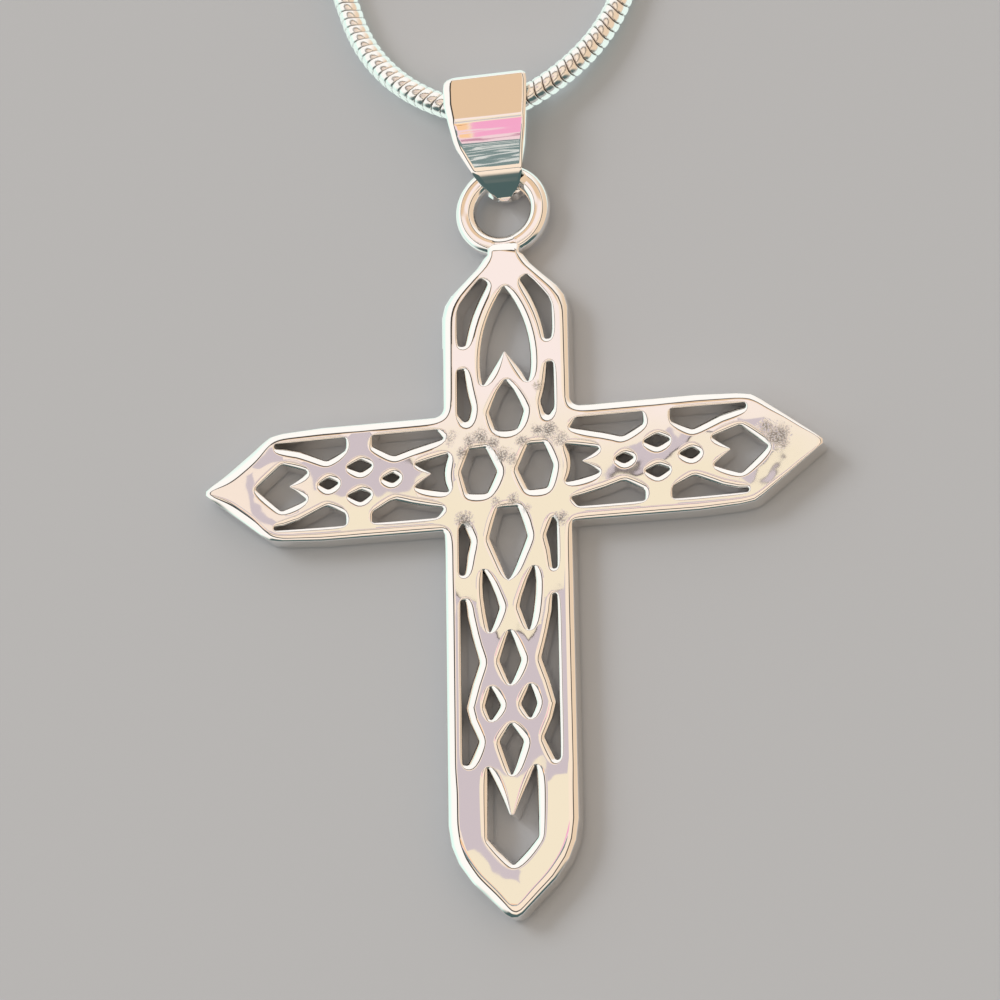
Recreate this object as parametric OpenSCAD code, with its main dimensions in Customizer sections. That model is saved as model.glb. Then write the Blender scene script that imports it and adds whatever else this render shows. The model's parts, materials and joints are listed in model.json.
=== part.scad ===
// Celtic cross pendant on a snake chain, all sizes in millimetres.
// The cross lies on its front, so its flat back looks up and z = 0 is what it rests on.
// X runs along the side arms and Y from the foot to the ring. The origin is under the crossing.

/* [Cross plate] */
// Thickness of the cast plate
plate_thickness = 1.8; // [1:0.1:3]
// Half width of the upright bar
bar_half = 4.1; // [3:0.05:6]
// Half height of the side arms where they leave the bar
arm_half = 3.75; // [3:0.05:6]
// Half height of the side arms where their points begin
arm_end_half = 3.45; // [2.5:0.05:6]
// Distance from the upright's middle to the tip of a side arm
arm_reach = 19.8; // [15:0.1:30]
// Distance from the crossing down to the foot's tip
foot_reach = 28; // [20:0.1:40]
// Radius in the two upper inner corners
upper_corner = 0.6; // [0.1:0.05:1]
// Radius in the two lower inner corners
lower_corner = 0.2; // [0.1:0.05:1]

/* [Lancet window in the top arm] */
// Height of the middle of the lancet's side arcs above the crossing
lancet_y = 7; // [5:0.1:9]
// Radius of the lancet's side arcs
lancet_radius = 8.5; // [6:0.1:12]
// Half width of the lancet
lancet_half = 1.6; // [1:0.05:2.5]
// Distance between the lancet's arc and the arc of the slots outside it
lancet_rib = 1.1; // [0.7:0.05:2]

/* [Ring and neck] */
// Height of the ring's centre above the crossing
ring_y = 17.3; // [15:0.1:22]
// Radius of the ring at the middle of its wire
ring_radius = 2.43; // [1.5:0.01:4]
// Half the thickness of the ring's flattened wire
ring_wire = 0.575; // [0.3:0.005:1]
// Width of the flat on the wire, between its two round sides
ring_flat = 0.2; // [0:0.02:0.6]
// Where the ring's centre lies across
ring_x = -0.1; // [-0.5:0.05:0.5]
// Height of the wire's middle above the ground
ring_z = 1.07; // [0.8:0.01:1.5]
// Half width of the neck where it meets the ring
neck_half = 1.05; // [0.5:0.05:2]

/* [Bail] */
// Thickness of the folded strip
strip = 0.4; // [0.2:0.05:0.8]
// Outer radius of the fold that holds the chain
bail_chain_fold = 1.6; // [1.2:0.05:2.5]
// Outer radius of the fold that goes through the ring
bail_ring_fold = 1.4; // [0.8:0.05:1.6]
// Distance between the middles of the two folds
bail_span = 5.6; // [4:0.1:9]
// Where the middle of the lower fold lies across
bail_x = -0.1; // [-1:0.05:1]
// Where the middle of the lower fold lies along
bail_y = 19.25; // [18:0.05:21]
// Turn of the bail to the left, in degrees
bail_turn = 0; // [-15:0.5:15]

/* [Chain] */
// Radius of the snake chain
chain_radius = 0.8; // [0.4:0.05:1.5]
// Whole length of the loop with its clasp
loop_length = 450; // [380:5:600]
// Where the lowest point of the loop lies across
chain_x = -1; // [-3:0.05:2]
// Where the lowest point of the loop lies along
chain_y = 24.24; // [22:0.05:27]
// Height of the chain's middle inside the bail
chain_bail_z = 1.5; // [1:0.05:2]
// Bend radius inside the bail
bend_in = 6.5; // [4:0.1:12]
// Bend radius on both sides of the bail
bend_out = 12; // [8:0.1:30]
// Slope of the chain where it leaves the bail, in degrees
leave_angle = 24; // [10:1:40]
// Slope of the straight runs, in degrees
run_angle = 72; // [50:1:88]

/* [Clasp] */
// Length of the barrel
clasp_length = 12; // [8:0.5:20]
// Radius of the barrel
clasp_radius = 1.7; // [1.4:0.1:3]
// Depth of the sockets in its two ends
socket_depth = 2.2; // [1:0.1:4]
// Radius of the sockets
socket_radius = 1; // [0.8:0.05:1.5]

/* [Hidden] */
silver = [0.86, 0.85, 0.83];
dark_silver = [0.7, 0.69, 0.68];

// Each diamond: x, y, half widths to the left and right, half heights up and down
// On the upright's middle line and beside it
DIAMONDS_UPRIGHT = [
    [0, -12.2, 0.63, 0.63, 1.86, 1.58],
    [0, -17.25, 0.7, 0.7, 1.03, 2.13],
    [1.24, -15, 0.56, 0.35, 1.17, 0.93]
];
// In a side arm
DIAMONDS_ARM = [
    [7.4, 0, 0.5, 0.65, 0.29, 0.28],
    [9.5, 0.94, 0.8, 0.87, 0.39, 0.35],
    [9.5, -0.96, 0.75, 0.83, 0.3, 0.42],
    [11.63, -0.03, 0.71, 0.58, 0.31, 0.33]
];
// How far the bail reaches to each side: distance from the middle of its lower fold, left, right
BAIL_WIDTHS = [
    [-1.6, 0, 0.2],
    [-1.3, 0.2, 0.55],
    [-0.9, 0.75, 1],
    [-0.5, 1.15, 1.32],
    [0.1, 1.55, 1.6],
    [0.7, 1.9, 1.68],
    [1.35, 2.28, 1.75],
    [1.9, 2.6, 1.82],
    [2.4, 2.78, 1.91],
    [3, 2.92, 2],
    [4, 3.15, 2.07],
    [5, 3.36, 2.13],
    [6.2, 3.38, 2.15],
    [6.7, 3.3, 2.08],
    [7.05, 3, 1.8],
    [7.2, 2.7, 1.6],
    [7.3, 2.7, 1.6]
];

// A list of points with its mirror image in the middle line
function both_sides(points) =
    concat(points, [for (i = [len(points) - 1 : -1 : 0]) [-points[i][0], points[i][1]]]);

module mirrored() {
    children();
    mirror([1, 0, 0]) children();
}

module arm_mirrored() {
    children();
    mirror([0, 1, 0]) children();
}

module diamond(d) {
    translate([d[0], d[1]])
        polygon([[-d[2], 0], [0, d[4]], [d[3], 0], [0, -d[5]]]);
}

// The outer outline, right half, from the neck round to the foot's tip
module outline() {
    polygon(both_sides([
        [neck_half, 14.2],
        [1.3, 14.05],
        [1.75, 13.4],
        [2.5, 12.65],
        [3.45, 11.75],
        [3.9, 11.1],
        [bar_half, 10.3],
        [bar_half, arm_half],
        [12, arm_half],
        [14.6, arm_end_half + 0.15],
        [15.5, arm_end_half],
        [16.1, 3.05],
        [arm_reach - 0.5, 0.55],
        [arm_reach, 0.15],
        [arm_reach, -0.15],
        [arm_reach - 0.5, -0.55],
        [16.1, -3.05],
        [15.5, -arm_end_half],
        [14.6, -arm_end_half - 0.15],
        [12, -arm_half],
        [bar_half, -arm_half],
        [bar_half, -22.2],
        [3.9, -23.5],
        [3.45, -24.6],
        [2.6, -25.8],
        [1.1, 0.75 - foot_reach],
        [0.55, 0.2 - foot_reach],
        [0.2, -foot_reach]
    ]));
    // The neck, up to the middle of the ring's wire
    difference() {
        translate([-neck_half, 13.9]) square([2 * neck_half, ring_y - 13.9]);
        translate([ring_x, ring_y]) circle(r = ring_radius, $fn = 64);
    }
    mirrored() corner(upper_corner);
    mirrored() mirror([0, 1, 0]) corner(lower_corner);
}

// The fillet in one inner corner between the bar and an arm
module corner(r) {
    difference() {
        translate([bar_half - 0.1, arm_half - 0.1]) square(r + 0.1);
        translate([bar_half + r, arm_half + r]) circle(r = r, $fn = 48);
    }
}

// A disc whose right edge is the lancet's right arc, moved out by a distance
module lancet_disc(out) {
    translate([lancet_half - lancet_radius, lancet_y])
        circle(r = lancet_radius + out, $fn = 96);
}

// The lancet: two arcs that meet in a point, with a peak cut up into its foot
module lancet() {
    difference() {
        intersection() {
            lancet_disc(0);
            mirror([1, 0, 0]) lancet_disc(0);
            translate([-3, 5.5]) square([6, 8]);
        }
        polygon([[-1.5, 5.4], [-1.1, 6.2], [-0.8, 6.65], [0, 7.65], [0.8, 6.65], [1.1, 6.2], [1.5, 5.4]]);
    }
}

// The slots outside the lancet, which follow its arc
module lancet_slots() {
    difference() {
        union() {
            polygon([[0.95, 12.25], [1.5, 12.65], [1.95, 12.2], [2.45, 11.6], [2.9, 11],
                [3.07, 10.5], [3.07, 8.8], [3, 8.25], [2, 8.25]]);
            polygon([[2, 6.7], [3.1, 6.65], [3.1, 3.75], [2.75, 3.3], [2.48, 3.4], [2.3, 4]]);
        }
        lancet_disc(lancet_rib);
    }
}

// The windows round the crossing
module crossing_windows() {
    // House-shaped window above the crossing
    polygon(both_sides([[0, 5.75], [0.5, 5.05], [0.8, 4.4], [1.07, 3.72], [0.68, 2.58], [0.5, 2.5]]));
    // Kite below the crossing
    polygon(both_sides([[0.6, -2.55], [0.88, -3.4], [1.16, -4.4], [0.1, -7.05], [0, -7.2]]));
    // Hexagons left and right
    mirrored() polygon([[1.4, 1.42], [2.37, 1.38], [2.91, 0], [2.52, -1.4], [1.35, -1.48], [0.72, -0.08]]);
}

// The windows of the foot, right half
module foot_windows() {
    // Short slot beside the kite
    polygon([[2.87, -3.43], [3.1, -3.68], [3.1, -6.65], [2.82, -6.68], [2.68, -5.4], [2.46, -4.46]]);
    // Leaf
    polygon([[1.6, -6.4], [1.2, -7.27], [0.85, -8.22], [0.69, -8.86], [1.24, -10.46],
        [1.45, -9.3], [1.6, -8.2], [1.64, -7.4]]);
    // Long slot with two peaks
    polygon([[3.05, -8.3], [3.05, -18.55], [2.76, -18.55], [2.08, -17.13], [2.6, -16],
        [2.86, -15.03], [2.48, -13.6], [2, -12.2], [2.42, -10.6], [2.7, -9.3], [2.78, -8.3]]);
}

// The window at the foot's end: two points up, a spike hanging between them
module foot_end_window() {
    polygon([[0.12, -21.85], [1.5, -18.8], [1.52, -20.8], [1.55, -23.15], [0.95, -23.85], [0, -24.8],
        [-0.95, -23.85], [-1.55, -23.15], [-1.52, -20.8], [-1.5, -18.8], [-0.12, -21.85]]);
}

// The windows of the right arm
module arm_windows() {
    arm_mirrored() {
        // Inner and outer window along the arm's edge
        polygon([[4.07, 2.27], [4.5, 2.85], [8.68, 2.85], [8.68, 2.18], [7.5, 1.54], [7.25, 1.5],
            [6.2, 1.82], [4.9, 2.13]]);
        polygon([[10.43, 2.87], [15.13, 2.84], [15.15, 2.6], [14.5, 2.56], [13.5, 2.3], [12.12, 1.68],
            [11.74, 1.53], [10.5, 2.08], [10.43, 2.25]]);
    }
    // Window with a spike, its inner side an arc round the hexagon
    difference() {
        polygon([[3.6, 1.24], [5.92, 0.75], [4.8, 0], [5.92, -0.75], [3.6, -1.24]]);
        translate([1.9, 0]) circle(r = 2.2, $fn = 64);
    }
    // Chevron at the arm's end
    polygon([[12.95, 0.86], [14.7, 1.43], [16.4, 0], [14.7, -1.56], [13.03, -0.96], [14.15, -0.05]]);
    for (d = DIAMONDS_ARM) diamond(d);
}

module windows() {
    lancet();
    crossing_windows();
    foot_end_window();
    diamond(DIAMONDS_UPRIGHT[0]);
    diamond(DIAMONDS_UPRIGHT[1]);
    mirrored() {
        lancet_slots();
        foot_windows();
        arm_windows();
        diamond(DIAMONDS_UPRIGHT[2]);
    }
}

module cross() {
    color(silver) {
        linear_extrude(height = plate_thickness)
            difference() {
                outline();
                windows();
            }
        translate([ring_x, ring_y, ring_z])
            rotate_extrude($fn = 96)
                ring_section();
    }
}

// The ring's wire, cut through: a circle that is flattened at the top and bottom
module ring_section() {
    for (side = [-1, 1])
        translate([ring_radius + side * ring_flat / 2, 0])
            circle(r = ring_wire, $fn = 48);
    translate([ring_radius - ring_flat / 2, -ring_wire])
        square([ring_flat, 2 * ring_wire]);
}

// Angle of the straight strip between two folds, from their outer radii
strip_lean = asin((bail_chain_fold - bail_ring_fold) / bail_span);

// The side view of the bail, drawn with y along and x up, filled: two folds joined by straight strips
module bail_side(inset) {
    a = bail_chain_fold - inset;
    b = bail_ring_fold - inset;
    lean = 2 * strip_lean;
    translate([bail_span, bail_chain_fold]) circle(r = a, $fn = 72);
    translate([0, bail_ring_fold]) circle(r = b, $fn = 72);
    polygon([
        [0, bail_ring_fold - b],
        [bail_span, bail_chain_fold - a],
        [bail_span - a * sin(lean), bail_chain_fold + a * cos(lean)],
        [-b * sin(lean), bail_ring_fold + b * cos(lean)]
    ]);
}

module bail() {
    color(silver)
        translate([bail_x, bail_y, 0])
            rotate([0, 0, bail_turn])
                intersection() {
                    rotate([90, 0, 90])
                        translate([0, 0, -4])
                            linear_extrude(height = 8)
                                difference() {
                                    bail_side(0);
                                    bail_side(strip);
                                }
                    linear_extrude(height = 6)
                        polygon(concat(
                            [for (w = BAIL_WIDTHS) [w[2], w[0]]],
                            [for (i = [len(BAIL_WIDTHS) - 1 : -1 : 0]) [-BAIL_WIDTHS[i][1], BAIL_WIDTHS[i][0]]]
                        ));
                }
}

// The chain's route, right half, as steps of bend and straight, from the bail up to the clasp
bail_part = bend_in * leave_angle * PI / 180;
side_angle = run_angle - leave_angle;
side_part = bend_out * side_angle * PI / 180;
back_angle = 180 - run_angle;
back_per_radius = back_angle * PI / 180;
clasp_run = clasp_length / 2 + 1;
half_loop = loop_length / 2 - bail_part - side_part - clasp_run;
side_x = bend_in * sin(leave_angle) + bend_out * (sin(run_angle) - sin(leave_angle));
side_y = bend_in * (1 - cos(leave_angle)) + bend_out * (cos(leave_angle) - cos(run_angle));
// The back bend closes the loop: back_radius * sin(run_angle) = side_x + run * cos(run_angle) - clasp_run
run = (half_loop - back_per_radius * (side_x - clasp_run) / sin(run_angle))
    / (1 + back_per_radius * cos(run_angle) / sin(run_angle));
back_radius = (side_x + run * cos(run_angle) - clasp_run) / sin(run_angle);
back_y = side_y + run * sin(run_angle) + back_radius * cos(run_angle);
clasp_y = chain_y + back_y + back_radius;

// Points of the right half: across and along from the loop's lowest point, then distance from it
inner_points = [for (i = [0 : 3]) let(a = i * leave_angle / 3)
    [bend_in * sin(a), bend_in * (1 - cos(a)), bend_in * a * PI / 180]];
side_points = [for (i = [1 : 8]) let(a = leave_angle + i * side_angle / 8)
    [bend_in * sin(leave_angle) + bend_out * (sin(a) - sin(leave_angle)),
     bend_in * (1 - cos(leave_angle)) + bend_out * (cos(leave_angle) - cos(a)),
     bail_part + bend_out * (a - leave_angle) * PI / 180]];
back_points = [for (i = [0 : 22]) let(a = i * back_angle / 22)
    [clasp_run + back_radius * sin(run_angle + a), back_y - back_radius * cos(run_angle + a),
     bail_part + side_part + run + back_radius * a * PI / 180]];
end_points = [[clasp_length / 2 - socket_depth + 0.2, back_y + back_radius,
    loop_length / 2 - clasp_length / 2 + socket_depth - 0.2]];
half_route = concat(inner_points, side_points, back_points, end_points);

// The chain lies on the ground, and is lifted a little by the bail's strip and by the clasp
function ease(t) = t <= 0 ? 0 : t >= 1 ? 1 : t * t * (3 - 2 * t);
function route_z(s) = chain_radius
    + (chain_bail_z - chain_radius) * (1 - ease((s - 3) / 10))
    + (clasp_radius - chain_radius) * ease((s - loop_length / 2 + 40) / 32);
route = concat(
    [for (i = [len(half_route) - 1 : -1 : 1])
        [chain_x - half_route[i][0], chain_y + half_route[i][1], route_z(half_route[i][2])]],
    [for (p = half_route) [chain_x + p[0], chain_y + p[1], route_z(p[2])]]
);

// A tube of eight sides swept along the route, its flats touching the chain's true radius
sides = 8;
tube_radius = chain_radius / cos(180 / sides);
function unit(v) = v / norm(v);
function tangent(i) = unit(route[min(i + 1, len(route) - 1)] - route[max(i - 1, 0)]);
function ring_at(i) =
    let(t = tangent(i), across = unit([t[1], -t[0], 0]), up = cross(across, t))
    [for (k = [0 : sides - 1]) let(a = (k + 0.5) * 360 / sides)
        route[i] + tube_radius * (cos(a) * across + sin(a) * up)];
tube_points = [for (i = [0 : len(route) - 1]) each ring_at(i)];
tube_faces = concat(
    [[for (k = [0 : sides - 1]) k]],
    [for (i = [0 : len(route) - 2]) for (k = [0 : sides - 1])
        let(a = i * sides + k, b = i * sides + (k + 1) % sides)
        [b, a, a + sides, b + sides]],
    [[for (k = [sides - 1 : -1 : 0]) (len(route) - 1) * sides + k]]
);

module chain() {
    color(dark_silver)
        polyhedron(points = tube_points, faces = tube_faces);
}

module clasp() {
    color(silver)
        translate([chain_x, clasp_y, clasp_radius])
            rotate([0, 90, 0])
                difference() {
                    rotate_extrude($fn = 64)
                        polygon([
                            [0, -clasp_length / 2],
                            [clasp_radius - 0.4, -clasp_length / 2],
                            [clasp_radius - 0.1, -clasp_length / 2 + 0.4],
                            [clasp_radius - 0.1, -clasp_length / 2 + 1.6],
                            [clasp_radius, -clasp_length / 2 + 1.8],
                            [clasp_radius, clasp_length / 2 - 1.8],
                            [clasp_radius - 0.1, clasp_length / 2 - 1.6],
                            [clasp_radius - 0.1, clasp_length / 2 - 0.4],
                            [clasp_radius - 0.4, clasp_length / 2],
                            [0, clasp_length / 2]
                        ]);
                    translate([0, 0, clasp_length / 2 - socket_depth])
                        cylinder(r = socket_radius, h = socket_depth + 1, $fn = 48);
                    translate([0, 0, -clasp_length / 2 - 1])
                        cylinder(r = socket_radius, h = socket_depth + 1, $fn = 48);
                }
}

cross();
bail();
chain();
clasp();
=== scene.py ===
# %% [markdown]
# # A cast silver cross on a snake chain
# This lesson builds an openwork cross pendant that lies on its front, with its flat back up. The CAD
# model gives every size and place. Blender adds what a caster, a polisher and a chain maker add: soft
# rims, a soldered ring, a folded bail, the small links of the chain, and the polish.

# %% Load the frame
import json
import math
import bmesh
import bpy
from mathutils import Matrix, Vector
from mathutils.bvhtree import BVHTree

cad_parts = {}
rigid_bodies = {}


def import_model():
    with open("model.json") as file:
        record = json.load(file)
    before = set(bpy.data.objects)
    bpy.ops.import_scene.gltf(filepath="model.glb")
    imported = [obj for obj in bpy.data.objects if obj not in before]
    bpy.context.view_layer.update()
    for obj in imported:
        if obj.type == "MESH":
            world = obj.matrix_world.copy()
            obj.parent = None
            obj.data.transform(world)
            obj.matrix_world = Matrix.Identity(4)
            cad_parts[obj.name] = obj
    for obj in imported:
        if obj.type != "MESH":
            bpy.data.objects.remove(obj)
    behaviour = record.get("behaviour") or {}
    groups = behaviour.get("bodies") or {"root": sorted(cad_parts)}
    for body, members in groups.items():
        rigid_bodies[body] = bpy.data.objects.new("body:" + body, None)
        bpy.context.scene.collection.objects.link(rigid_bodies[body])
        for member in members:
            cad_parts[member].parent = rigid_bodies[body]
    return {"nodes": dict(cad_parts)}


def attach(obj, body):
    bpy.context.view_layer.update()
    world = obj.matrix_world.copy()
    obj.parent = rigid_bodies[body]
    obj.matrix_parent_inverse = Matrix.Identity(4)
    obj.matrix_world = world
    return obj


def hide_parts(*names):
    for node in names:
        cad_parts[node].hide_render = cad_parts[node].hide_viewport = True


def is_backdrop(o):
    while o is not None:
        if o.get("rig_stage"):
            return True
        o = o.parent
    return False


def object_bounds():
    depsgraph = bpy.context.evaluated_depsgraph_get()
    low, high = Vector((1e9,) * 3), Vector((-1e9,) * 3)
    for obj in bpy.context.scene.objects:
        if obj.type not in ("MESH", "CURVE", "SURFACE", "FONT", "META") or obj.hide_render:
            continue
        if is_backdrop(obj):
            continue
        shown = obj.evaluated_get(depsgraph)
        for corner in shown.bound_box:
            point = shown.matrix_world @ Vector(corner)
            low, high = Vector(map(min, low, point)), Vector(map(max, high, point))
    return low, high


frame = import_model()
bpy.context.view_layer.update()

# %% [markdown]
# ## Working in millimetres
# A pendant is small, and a jeweller thinks in millimetres. Each piece is therefore modelled a thousand
# times too large, so that one unit is a millimetre, and is brought down to metres when it is finished.
# Operators act on whatever is selected, so a piece is always made active alone before it is edited. All
# numbers below are millimetres on the object, unless a comment says otherwise.

# %% Helpers for selecting and editing
MM = 0.001
TOUCHING = 0.001  # points that are nearer to each other than this, in mm, are one


def only(piece):
    """Selects one object alone and makes it active."""
    if bpy.context.object and bpy.context.object.mode != "OBJECT":
        bpy.ops.object.mode_set(mode="OBJECT")
    bpy.ops.object.select_all(action="DESELECT")
    piece.select_set(True)
    bpy.context.view_layer.objects.active = piece


def edit(piece, kind="VERT"):
    """Opens a piece in edit mode with nothing selected."""
    only(piece)
    bpy.ops.object.mode_set(mode="EDIT")
    bpy.ops.mesh.select_mode(type=kind)
    bpy.ops.mesh.select_all(action="DESELECT")


def pick(piece, parts, wanted):
    """In edit mode, selects the vertices, edges or faces for which wanted is true."""
    bpy.ops.mesh.select_all(action="DESELECT")
    mesh = bmesh.from_edit_mesh(piece.data)
    chosen = [part for part in getattr(mesh, parts) if wanted(part)]
    for part in chosen:
        part.select_set(True)
    mesh.select_flush_mode()
    bmesh.update_edit_mesh(piece.data)
    return len(chosen)


def apply_modifier(piece, kind, **settings):
    """Adds a modifier, gives it its settings and applies it."""
    only(piece)
    modifier = piece.modifiers.new(kind.lower(), kind)
    for name, value in settings.items():
        setattr(modifier, name, value)
    bpy.ops.object.modifier_apply(modifier=modifier.name)


def apply_place(piece):
    """Moves an object's place, turn and size into its mesh."""
    only(piece)
    bpy.ops.object.transform_apply(location=True, rotation=True, scale=True)


def finish_piece(piece, name, material, slot, *nodes):
    """Brings a piece down to metres, gives it its finish and lets it stand for its CAD nodes."""
    apply_place(piece)
    piece.name = name
    piece.data.name = name
    piece.data.transform(Matrix.Scale(MM, 4))
    piece.data.materials.clear()
    piece.data.materials.append(material)
    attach(piece, "root")
    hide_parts(*nodes)
    triangles = sum(len(face.vertices) - 2 for face in piece.data.polygons)
    print(name, "has", triangles, "triangles")


# %% [markdown]
# ## The camera
# The camera looks down on the cross from its lower right, about 21 degrees off the upright. Its lens is
# long for such a near view, so the far arm looks only a little smaller than the near one.

# %% Camera
camera_data = bpy.data.cameras.new("camera")
camera_data.sensor_width = 36
camera_data.lens = 108
camera_data.clip_start = 0.01
camera = bpy.data.objects.new("camera", camera_data)
camera.location = Vector((41.9, -53.38, 175.42)) * MM
camera.rotation_euler = [math.radians(angle) for angle in (15.80, 13.95, -0.905)]
bpy.context.scene.collection.objects.link(camera)
bpy.context.scene.camera = camera
print("camera is", round(camera.location.length / MM), "mm from the crossing")

# %% [markdown]
# ## Shared finishes
# Polished silver has almost no colour of its own. What makes it look real is that it is never quite
# flat: a buffing wheel leaves shallow waves and, where the casting was porous, small grainy patches. Both
# are node groups, so that the cross, the bail and the clasp share them.

# %% Node helpers
def new_group(name, inputs, outputs):
    """An empty shader node group with named sockets; returns it with its input and output nodes."""
    group = bpy.data.node_groups.new(name, "ShaderNodeTree")
    for label, value in inputs.items():
        kind = "NodeSocketVector" if value is None else "NodeSocketFloat"
        socket = group.interface.new_socket(label, in_out="INPUT", socket_type=kind)
        if value is not None:
            socket.default_value = value
    for label in outputs:
        group.interface.new_socket(label, in_out="OUTPUT", socket_type="NodeSocketFloat")
    start = group.nodes.new("NodeGroupInput")
    end = group.nodes.new("NodeGroupOutput")
    return group, start, end


def give(tree, socket, value):
    """Links another socket to this input, or sets the input to a number, vector or colour."""
    if isinstance(value, bpy.types.NodeSocket):
        tree.links.new(value, socket)
    else:
        socket.default_value = value


def fill(tree, node, **values):
    """Sets a node's properties and inputs by name, with _ for a space."""
    for name, value in values.items():
        label = name.replace("_", " ")
        if label in node.inputs:
            give(tree, node.inputs[label], value)
        else:
            setattr(node, name, value)
    return node


def add_node(tree, kind, **values):
    """A new node with its properties and inputs set."""
    return fill(tree, tree.nodes.new("ShaderNode" + kind), **values)


def maths(tree, operation, first, second):
    """The result of one math node; each term is a number or a socket."""
    node = add_node(tree, "Math", operation=operation)
    give(tree, node.inputs[0], first)
    give(tree, node.inputs[1], second)
    return node.outputs[0]


def mix(tree, factor, first, second):
    """Two colours mixed; each is three numbers or a socket."""
    node = add_node(tree, "Mix", data_type="RGBA")
    give(tree, node.inputs[0], factor)
    for socket, value in ((node.inputs[6], first), (node.inputs[7], second)):
        give(tree, socket, value if isinstance(value, bpy.types.NodeSocket) else (*value, 1))
    return node.outputs[2]


def ramp(tree, value, low, high):
    """Maps low to 0 and high to 1, smoothly, and stays within them."""
    node = add_node(tree, "MapRange", interpolation_type="SMOOTHSTEP",
                    Value=value, From_Min=low, From_Max=high)
    return node.outputs["Result"]


# %% The waves that a buffing wheel leaves
BROAD_WAVES = 150.0  # waves to the metre
NARROW_WAVES = 620.0
NARROW_SHARE = 0.08  # height of the narrow waves, as a share of the broad ones


def make_buffing():
    """Shallow waves over millimetres, as a height in millimetres."""
    group, start, end = new_group("buffing waves", {"Vector": None, "Wave": 0.01}, ["Height"])
    where = start.outputs["Vector"]
    broad = add_node(group, "TexNoise", Vector=where, Scale=BROAD_WAVES, Detail=1.0)
    narrow = add_node(group, "TexNoise", Vector=where, Scale=NARROW_WAVES, Detail=1.0)
    both = maths(group, "ADD", broad.outputs["Fac"],
                 maths(group, "MULTIPLY", narrow.outputs["Fac"], NARROW_SHARE))
    group.links.new(maths(group, "MULTIPLY", both, start.outputs["Wave"]), end.inputs["Height"])
    return group


# %% The porous patches of a casting
PORE_PLACES = [  # across, along, reach
    (-3.6, 2.2, 0.45),
    (-2.8, 1.2, 0.4),
    (-2.4, 1.8, 0.45),
    (-1.6, 2.1, 0.55),
    (-0.8, 1.7, 0.45),
    (-0.2, 0.8, 0.55),
    (0.3, 0.6, 0.5),
    (1.1, 1.6, 0.45),
    (2, 2.25, 0.5),
    (2.8, 2.2, 0.6),
    (3.4, 1.4, 0.5),
    (-2.7, -3.2, 0.55),
    (-0.6, -2.2, 0.4),
    (0.4, -2.1, 0.4),
    (1.2, -2.8, 0.35),
    (3.4, -3.6, 0.5),
    (2.2, 5.2, 0.4),
    (17.1, 0.5, 0.75),
    (16.3, 1.2, 0.45),
]
BORDER_SCALE = 1400.0  # waves to the metre along a patch's ragged border
BORDER_WANDERS = 0.9  # how far the border wanders
PATCH_LIMITS = (0.3, 0.95)  # where a patch begins and where it is full, from its border inwards
GRAIN_SCALE = 9000.0  # grains to the metre
GRAIN_LIMITS = (0.51, 0.62)  # noise below the first is smooth silver, above the second a full grain
CROWDING = 0.1  # how much denser the grains get inside a patch


def make_pores():
    """Grainy patches where the casting cooled last: the patch, over which the silver gets a painted shade,
    and a mask that is 1 in its grains.
    """
    group, start, end = new_group("casting pores", {"Vector": None}, ["Patch", "Mask"])
    where = start.outputs["Vector"]
    flat = add_node(group, "VectorMath", operation="MULTIPLY", Vector=where)
    flat.inputs[1].default_value = (1 / MM, 1 / MM, 0)
    nearest = None
    for across, along, reach in PORE_PLACES:
        away = add_node(group, "VectorMath", operation="DISTANCE", Vector=flat.outputs["Vector"])
        away.inputs[1].default_value = (across, along, 0)
        near = maths(group, "SUBTRACT", reach, away.outputs["Value"])
        nearest = near if nearest is None else maths(group, "MAXIMUM", nearest, near)
    border = add_node(group, "TexNoise", Vector=where, Scale=BORDER_SCALE, Detail=2.0).outputs["Fac"]
    uneven = maths(group, "ADD", nearest, maths(group, "MULTIPLY", border, BORDER_WANDERS))
    patch = ramp(group, uneven, *PATCH_LIMITS)
    grain = add_node(group, "TexNoise", Vector=where, Scale=GRAIN_SCALE, Detail=2.0).outputs["Fac"]
    crowded = maths(group, "ADD", grain, maths(group, "MULTIPLY", patch, CROWDING))
    grains = ramp(group, crowded, *GRAIN_LIMITS)
    group.links.new(patch, end.inputs["Patch"])
    group.links.new(maths(group, "MULTIPLY", patch, grains), end.inputs["Mask"])
    return group


BUFFING = make_buffing()
PORES = make_pores()


# %% [markdown]
# ## Polished silver
# The shader is a plain metal. The waves reach its normal as a bump, and the pores make it rougher and
# darker; the lighter grey over each whole patch around them is painted shade. The waves' height is in
# millimetres and the bump's distance is one, so the slopes are true.

# %% Silver material
PORE_AND_PAINTED_SHADE_COLOUR = 0.4  # colour of a pore and of the patch's painted shade, as a share of the silver's
PATCH_PAINTED_SHADE = 0.32  # painted shade: how far the whole patch goes towards that colour
PORE_ROUGHNESS = 0.25
PORE_DEPTH = 0.008


def new_material(name, **values):
    """A material whose main shader gets these values; returns it with its node tree and the shader."""
    material = bpy.data.materials.new(name)
    material.use_nodes = True
    tree = material.node_tree
    return material, tree, fill(tree, tree.nodes["Principled BSDF"], **values)


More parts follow.
